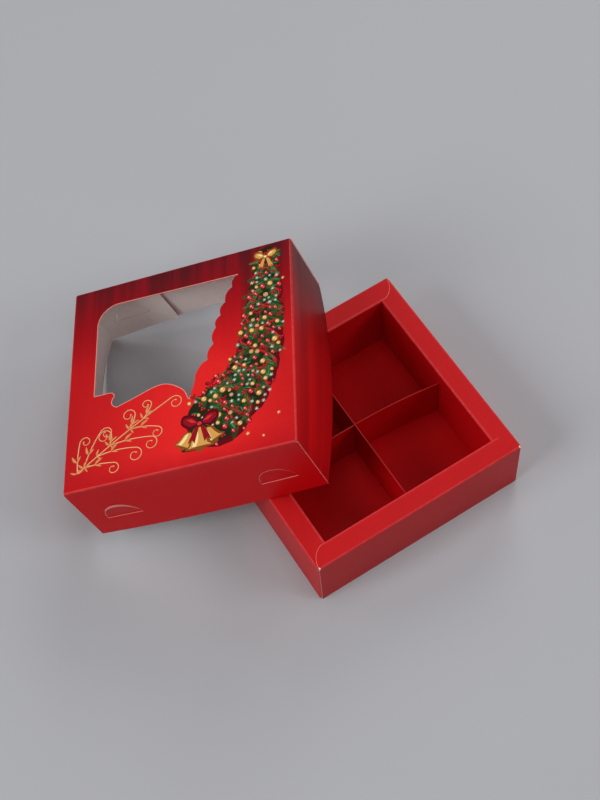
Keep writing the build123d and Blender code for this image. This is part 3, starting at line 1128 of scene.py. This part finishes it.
def hangings():
    """Bells and ribbon bows at both ends of the garland, and gold snowflakes beside it."""
    rng = random.Random(12)
    side = 2 * LID_REACH
    made = []
    for x, y, size in GOLD_FLAKES:
        made += snowflake(Vector((x, y)) * side, size * MM, rng.uniform(0, 1), GOLD_TONES[0])
    foot = Vector((0.092, -0.318)) * side
    made += [(ellipse(foot + Vector((0.6, -10.6)) * MM, 8.6 * MM, 1.7 * MM, 0.1), SHADOW)]
    for x, y, size, angle in GARLAND_BELLS:
        made += bell(foot + Vector((x, y)) * MM, size * MM, angle)
    made += ribbon_bow(foot + Vector((0.4, 0.0)) * MM, 8.6 * MM, RIBBON_TONES)
    return made + ribbon_bow(Vector((0.388, 0.432)) * side, 5.6 * MM, GOLD_TONES)


def finish_piece(piece, body, slot, *nodes):
    """Tie a finished piece to its body and hide the nodes that it stands for. The slot is not used.
    """
    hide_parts(*nodes)
    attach(piece, body)


class SWEETBOX_OT_finishes(bpy.types.Operator):
    """Make the finishes of the coated, bare and printed board"""

    bl_idname = "sweetbox.finishes"
    bl_label = "Make Finishes"

    def execute(self, context):
        colours = settings("colours")
        coated_board("red_coating", colours.tray_red, TRAY_ROUGHNESS, COATED_GLOSS)
        coated_board("divider_coating", colours.divider_red, DIVIDER_ROUGHNESS, DIVIDER_GLOSS)
        coated_board("floor_coating", colours.divider_red, DIVIDER_ROUGHNESS, DIVIDER_GLOSS,
                     marked=False)
        bare_board("bare_inside", colours.inside)
        bare_board("pale_cut_edge", colours.cut_edge)
        bare_board("pink_cut_edge", linear(232, 158, 150)[:3])
        bare_board("red_cut_edge", linear(178, 30, 32)[:3])
        printed_board("festive_print", colours)
        return {"FINISHED"}


class SWEETBOX_OT_lid_sheet(bpy.types.Operator):
    """Fold the lid's top, its side walls and their corner flaps from one printed sheet"""

    bl_idname = "sweetbox.lid_sheet"
    bl_label = "Fold Lid"

    def execute(self, context):
        sizes = settings("lid")
        radius = sizes.crease_radius
        down = lid_profile()
        flap_wall = LID_REACH - BOARD - FLAP_PLAY
        around = corner_profile(flap_wall, radius)
        top_edge = LID_REACH - radius
        wall_start = down.reach(1, FLAP_SET_BACK + BOARD)
        wall_end = down.reach(1, LID_HEIGHT - FLAP_SET_BACK)
        foot = down.length
        crease = flap_wall - radius
        flap_end = around.reach(1, FLAP_REACH)
        quarter = [
            (top_edge, top_edge), (wall_start, top_edge), (wall_start, crease + radius),
            (wall_start + LID_CHAMFER, flap_end), (wall_end - LID_CHAMFER / 2, flap_end),
            (wall_end, flap_end - LID_CHAMFER / 2), (wall_end, crease), (foot, crease),
        ]
        right_side = [(u, -v) for u, v in quarter] + [(u, v) for u, v in reversed(quarter)]
        outline = right_side + [(-u, v) for u, v in reversed(right_side)]

        def fold(u, v):
            side = 1 if u > 0 else -1
            (across, height), crease_one = down.at(abs(u))
            end = 1 if v > 0 else -1
            depth = -height / LID_HEIGHT
            if abs(u) <= wall_start - FINE or abs(v) <= crease:
                bow = (bow_at(v, crease, depth, RIGHT_BOW) if side > 0
                       else bow_at(v, crease, depth, sizes.left_bow, rise=4.0))
                place = Vector((side * (across + bow), v, height))
                return LID @ place, crease_one
            (along, inward), crease_two = around.at(abs(v))
            x = side * (across + inward)
            bow = bow_at(x, LID_REACH, depth, sizes.back_flap_bow if end > 0 else sizes.front_bow)
            y = end * (along + bow * min(1.0, -inward / (2 * radius)))
            return LID @ Vector((x, y, height)), max(crease_one, crease_two)

        window = window_outline()
        holes = [window]
        for name in LOCKS:
            place = lock_place(name)
            side = 1 if place.x > 0 else -1
            end = 1 if place.y > 0 else -1
            base = down.reach(1, -place.z)
            middle = around.reach(1, LID_REACH - abs(place.x))
            gap = sizes.lock_kerf + (sizes.lock_clearance if end > 0 else 0)
            moon = half_moon(middle, base, -1, gap, mirror=side * end)
            holes.append([(side * height, end * along) for along, height in moon])
        rows = [sign * length for sign in (1, -1) for length in around.rows()]
        columns = [sign * length for sign in (1, -1) for length in down.rows()]
        worn = [(shape, colour) for shape, colour in edge_wear([*window, window[0]], WINDOW_WEAR)
                if shape[0].x < WORN_RIGHT or shape[0].y > WORN_BACK]
        inks = [*garland(), *hangings(), *scroll(), *worn]
        piece = cut_sheet("folded_lid", outline, fold, LID_FINISHES, holes, inks, rows, columns,
                          level=top_edge - radius)
        finish_piece(
            piece, "lid", "lid_board", "lid_top", "lid_wall_left", "lid_wall_right",
            *("lid_corner_flap_" + name for name in LOCKS))
        return {"FINISHED"}


class SWEETBOX_OT_hinged_walls(bpy.types.Operator):
    """Fold the lid's front and back walls, with their lock holes, down from the top's creases"""

    bl_idname = "sweetbox.hinged_walls"
    bl_label = "Fold Front and Back Walls"

    def execute(self, context):
        sizes = settings("lid")
        radius = sizes.crease_radius
        down = lid_profile()
        shoulder = LID_REACH - radius
        start, full, foot = down.reach(0, shoulder), down.reach(1, 2 * radius), down.length
        half = [(shoulder, -start), (LID_REACH, -full), (LID_REACH, -foot)]
        outline = [(-u, v) for u, v in half] + half[::-1]
        rows = [-length for length in down.rows()]
        for side, bow, fall in (("front", sizes.front_bow, 1.0), ("back", sizes.back_bow, 1.8)):
            turn = SIDES[side]

            def fold(u, v):
                (outward, height), crease = down.at(-v)
                swell = bow_at(u, LID_REACH, -height / LID_HEIGHT, bow, fall=fall)
                return side_place(LID, turn, u, outward + swell, height), crease

            holes = []
            for place in (lock_place(name) for name in LOCKS if name.startswith(side)):
                base = -down.reach(1, -place.z)
                holes.append(half_moon(place.x * math.cos(turn), base, 1, sizes.lock_clearance,
                                       sizes.lock_clearance))
            piece = cut_sheet(f"{side}_wall_sheet", outline, fold, LID_FINISHES, holes, rows=rows,
                              turn=turn)
            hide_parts(f"lid_wall_{side}")
            side_place(LID, turn, 0, shoulder, 0)
            side_place(LID, turn, 0, LID_REACH, -radius)
            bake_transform(piece)
        return {"FINISHED"}


class SWEETBOX_OT_lock_tabs(bpy.types.Operator):
    """Cut the half-moon lock tabs, which lean out through the walls"""

    bl_idname = "sweetbox.lock_tabs"
    bl_label = "Make Lock Tabs"

    def execute(self, context):
        sizes = settings("lid")
        leans = {"front_left": sizes.front_lean, "front_right": sizes.pushed_lean}
        for name in LOCKS:
            place = lock_place(name)
            side = name.split("_")[0]
            turn = SIDES[side]
            base = -lid_profile().reach(1, -place.z)
            bow = sizes.back_flap_bow if side == "back" else sizes.front_bow
            lean = leans.get(name, sizes.back_lean)

            def fold(u, v):
                rise = v - base
                swell = bow_at(u, LID_REACH, -place.z / LID_HEIGHT, bow)
                outward = abs(place.y) + BOARD / 2 + swell + rise * math.sin(lean)
                return side_place(LID, turn, u, outward, place.z + rise * math.cos(lean)), 0.0

            outline = half_moon(place.x * math.cos(turn), base)
            piece = cut_sheet(f"lock_{name}_board", outline, fold, LID_FINISHES, turn=turn,
                              inks=edge_wear(outline[1:-1], TAB_WEAR))
            finish_piece(piece, f"lock_tab_{name}", "lid_board", f"lock_tab_{name}")
        return {"FINISHED"}


class SWEETBOX_OT_tray_sides(bpy.types.Operator):
    """Fold each side of the tray: inner wall, rim, outer wall and the hidden corner flaps"""

    bl_idname = "sweetbox.tray_sides"
    bl_label = "Fold Tray Sides"

    def execute(self, context):
        sizes = settings("tray")
        radius = sizes.crease_radius
        rim_half = TRAY_REACH - BOARD
        inner = INNER_REACH - FLOOR_PLAY
        wrap = corner_profile(rim_half - FLAP_PLAY, radius)
        corner = rim_half - FLAP_PLAY - radius
        for side, turn in SIDES.items():
            over = side in ("front", "back")
            top = TRAY_TOP if over else TRAY_TOP - BOARD
            path = Profile((
                (INNER_REACH, BOARD), (INNER_REACH, top), (TRAY_REACH, top), (TRAY_REACH, 0),
            ), radius)
            rim_start, rim_end = path.reach(1, radius), path.reach(1, RIM_WIDTH - radius)
            outer_start = path.reach(2, radius)
            worn, columns = [], []
            nodes = [f"tray_{part}_{side}" for part in ("inner_wall", "rim", "outer_wall")]
            if over:
                quarter = [(inner, 0), (inner, rim_start - radius)]
                for step in range(QUARTER_STEPS + 1):
                    angle = math.pi / 2 * step / QUARTER_STEPS
                    along = INNER_REACH + (FRONT_WALL_REACH - INNER_REACH) * math.sin(angle)
                    out = RIM_WIDTH * (1 - math.cos(angle))
                    quarter.append((along, path.reach(1, min(out, RIM_WIDTH - RIM_STOP * radius))))
                quarter += [(FRONT_WALL_REACH, path.length)]
                worn = edge_wear([(-u, -v) for u, v in quarter[2:-2]], RIM_WEAR, WORN_RIM)
            else:
                flap_top = path.reach(2, TRAY_FLAP_SET_BACK + BOARD)
                flap_foot = path.reach(2, top - TRAY_FLAP_SET_BACK)
                flap_end = wrap.reach(1, TRAY_FLAP_REACH)
                quarter = [
                    (inner, 0), (inner, rim_start), (rim_half, rim_start), (rim_half, rim_end),
                    (corner, rim_end + FLAP_START * radius), (corner, flap_top),
                    (flap_end, flap_top + TRAY_CHAMFER), (flap_end, flap_foot - TRAY_CHAMFER),
                    (corner + radius, flap_foot), (corner, flap_foot), (corner, path.length),
                ]
                columns = [sign * length for sign in (1, -1) for length in wrap.rows()]
                nodes += [f"tray_corner_flap_{end}_{side}" for end in ("front", "back")]
            if side == "front":
                along, out = quarter[-2]
                worn += [(disc(Vector((end * along, -out)), TIP_WEAR), WORN_WHITE)
                         for end in (1, -1)]
            outline = [(u, -v) for u, v in quarter] + [(-u, -v) for u, v in reversed(quarter)]

            def fold(u, v):
                (outward, height), crease = path.at(-v)
                swell = 0.0
                if -v >= outer_start:
                    across = 1 - (min(abs(u), TRAY_REACH) / TRAY_REACH) ** 2
                    swell = sizes.wall_bow * across * math.sin(
                        math.pi * min(1.0, max(0.0, height / top)))
                if over or -v < outer_start or abs(u) <= corner:
                    return side_place(TRAY, turn, u, outward + swell, height), crease
                (along, inward), crease_two = wrap.at(abs(u))
                along *= 1 if u > 0 else -1
                crease = max(crease, crease_two)
                return side_place(TRAY, turn, along, outward + inward, height), crease

            piece = cut_sheet(
                f"tray_{side}_fold", outline, fold, TRAY_FINISHES, inks=worn,
                rows=[-length for length in path.rows()], columns=columns, turn=turn)
            finish_piece(piece, "tray", "tray_board", *nodes)
        return {"FINISHED"}


class SWEETBOX_OT_tray_floor(bpy.types.Operator):
    """Lay the tray's floor"""

    bl_idname = "sweetbox.tray_floor"
    bl_label = "Lay Tray Floor"

    def execute(self, context):
        bpy.ops.mesh.primitive_cube_add(size=1)
        piece = context.active_object
        piece.name = piece.data.name = "tray_floor_board"
        piece.scale = (2 * INNER_REACH, 2 * INNER_REACH, BOARD)
        piece.location.z = BOARD / 2
        bpy.ops.object.transform_apply(location=True, rotation=False, scale=True)
        piece.data.materials.append(bpy.data.materials["floor_coating"])
        finish_piece(piece, "tray", "tray_board", "tray_floor")
        return {"FINISHED"}


class SWEETBOX_OT_dividers(bpy.types.Operator):
    """Cut the two slotted divider strips and halve them into each other"""

    bl_idname = "sweetbox.dividers"
    bl_label = "Cut Dividers"

    def execute(self, context):
        gap = settings("tray").slot_clearance
        half, reach = BOARD / 2 + gap, DIVIDER_REACH
        base, top = DIVIDER_BASE, DIVIDER_TOP
        middle = (base + top) / 2
        lower = [(-reach, base), (reach, base), (reach, top), (half, top), (half, middle - gap),
                 (-half, middle - gap), (-half, top), (-reach, top)]
        upper = [(-reach, base), (-half, base), (-half, middle + gap), (half, middle + gap),
                 (half, base), (reach, base), (reach, top), (-reach, top)]

        def fold_lower(u, v):
            return Vector((u, -DIVIDER_SHIFT * (max(0.0, u) / reach) ** 2 - BOARD / 2, v)), 0.0

        def fold_upper(u, v):
            return Vector((BOARD / 2, u, v)), 0.0

        for name, outline, fold in (("lower", lower, fold_lower), ("upper", upper, fold_upper)):
            piece = cut_sheet(f"{name}_strip", outline, fold, DIVIDER_FINISHES)
            finish_piece(piece, f"divider_{name}", "divider_board", f"divider_{name}")
        return {"FINISHED"}


# The camera's place, and where its right and its back point, in the row frame
CAMERA_PLACE = Vector((-157.7, -266.75, 626.91)) * MM
CAMERA_RIGHT = Vector((0.84508, -0.53188, -0.05418))
CAMERA_BACK = Vector((-0.21122, -0.42525, 0.88009))
FOCAL_PIXELS = 1547.77
IMAGE_WIDTH = 600
SENSOR_WIDTH = 36.0
NEAREST = 0.01

# Soft lamps round the box: name, azimuth from the right and elevation in degrees, power in watts
LAMP_TARGET = Vector((-7.0, 36.0, 0.0)) * MM
LAMP_DISTANCE = 1.5
LAMP_SIZE = 0.7
LAMPS = (
    ("left_lamp", 182, 38, 11.2),
    ("back_right_lamp", 45, 32, 7.2),
    ("front_right_lamp", 315, 34, 6.0),
    ("front_lamp", 262, 62, 2.5),
    ("right_lamp", 0, 32, 3.6),
    ("back_left_lamp", 135, 34, 1.8),
    ("top_lamp", 90, 88, 3.2),
)
WORLD_STRENGTH = 0.02

# The stage's floor, just under the box
FLOOR_SIZE = 8.0
FLOOR_GAP = 0.02 * MM
FLOOR_ROUGHNESS, FLOOR_GLOSS = 0.9, 0.15
FLOOR_SHADE = 0.97


class SWEETBOX_OT_stage(bpy.types.Operator):
    """Set the pale floor, the soft lamps and the camera"""

    bl_idname = "sweetbox.stage"
    bl_label = "Set Stage"

    def execute(self, context):
        colour = settings("colours").floor
        bpy.ops.mesh.primitive_plane_add(size=FLOOR_SIZE, location=(0, 0, -FLOOR_GAP))
        floor = context.active_object
        floor.name = "floor"
        tree, shader = make_nodes("floor_paint", FLOOR_GLOSS)
        patches = noise(tree, own_place(tree), 9.0, 2.0)
        paint(tree, shader, mix(tree, patches, opaque(colour), opaque(colour, FLOOR_SHADE)),
              FLOOR_ROUGHNESS)
        floor.data.materials.append(bpy.data.materials["floor_paint"])
        world = bpy.data.worlds.new("soft_world")
        context.scene.world = world
        world.use_nodes = True
        background = world.node_tree.nodes["Background"]
        background.inputs["Color"].default_value = (1.0, 1.0, 1.0, 1.0)
        background.inputs["Strength"].default_value = WORLD_STRENGTH
        for name, azimuth, elevation, power in LAMPS:
            azimuth, elevation = math.radians(azimuth), math.radians(elevation)
            aim = Vector((math.cos(azimuth) * math.cos(elevation),
                          math.sin(azimuth) * math.cos(elevation), math.sin(elevation)))
            bpy.ops.object.light_add(type="AREA", location=LAMP_TARGET + aim * LAMP_DISTANCE)
            lamp = context.active_object
            lamp.name = name
            lamp.data.size = LAMP_SIZE
            lamp.data.energy = power
            lamp.rotation_euler = aim.to_track_quat("Z", "Y").to_euler()
        bpy.ops.object.camera_add(location=CAMERA_PLACE)
        camera = context.active_object
        upward = CAMERA_BACK.cross(CAMERA_RIGHT)
        turn = Matrix((CAMERA_RIGHT, upward, CAMERA_BACK)).transposed().to_4x4()
        turn.translation = CAMERA_PLACE
        camera.matrix_world = turn
        camera.data.sensor_fit = "HORIZONTAL"
        camera.data.sensor_width = SENSOR_WIDTH
        camera.data.lens = FOCAL_PIXELS / IMAGE_WIDTH * SENSOR_WIDTH
        camera.data.clip_start = NEAREST
        context.scene.camera = camera
        context.scene.view_settings.view_transform = "Standard"
        return {"FINISHED"}


class SWEETBOX_PT_panel(bpy.types.Panel):
    """The sweet box's steps, in order"""

    bl_idname = "SWEETBOX_PT_panel"
    bl_label = "Sweet Box"
    bl_space_type = "VIEW_3D"
    bl_region_type = "UI"
    bl_category = "Sweet Box"

    def draw(self, context):
        for name in ("lid", "tray", "colours"):
            group = settings(name)
            for key in group.__annotations__:
                self.layout.prop(group, key)
        for operator in OPERATORS:
            self.layout.operator(operator.bl_idname)


GROUPS = {"lid": LidSizes, "tray": TraySizes, "colours": BoardColours}
OPERATORS = (
    SWEETBOX_OT_finishes,
    SWEETBOX_OT_stage,
    SWEETBOX_OT_tray_floor,
    SWEETBOX_OT_tray_sides,
    SWEETBOX_OT_dividers,
    SWEETBOX_OT_lid_sheet,
    SWEETBOX_OT_hinged_walls,
    SWEETBOX_OT_lock_tabs,
)


def register():
    for kind in (*GROUPS.values(), *OPERATORS, SWEETBOX_PT_panel):
        bpy.utils.register_class(kind)
    for name, group in GROUPS.items():
        setattr(bpy.types.Scene, "sweet_box_" + name, bpy.props.PointerProperty(type=group))


def unregister():
    for name in GROUPS:
        delattr(bpy.types.Scene, "sweet_box_" + name)
    for kind in reversed((*GROUPS.values(), *OPERATORS, SWEETBOX_PT_panel)):
        bpy.utils.unregister_class(kind)


def main():
    """Make the whole box in order."""
    register()
    bpy.ops.object.select_all(action="DESELECT")
    bpy.ops.sweetbox.finishes()
    bpy.ops.sweetbox.stage()
    bpy.ops.sweetbox.tray_floor()
    bpy.ops.sweetbox.tray_sides()
    bpy.ops.sweetbox.dividers()
    bpy.ops.sweetbox.lid_sheet()
    bpy.ops.sweetbox.hinged_walls()
    bpy.ops.sweetbox.lock_tabs()
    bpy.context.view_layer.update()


if __name__ == "__main__":
    main()
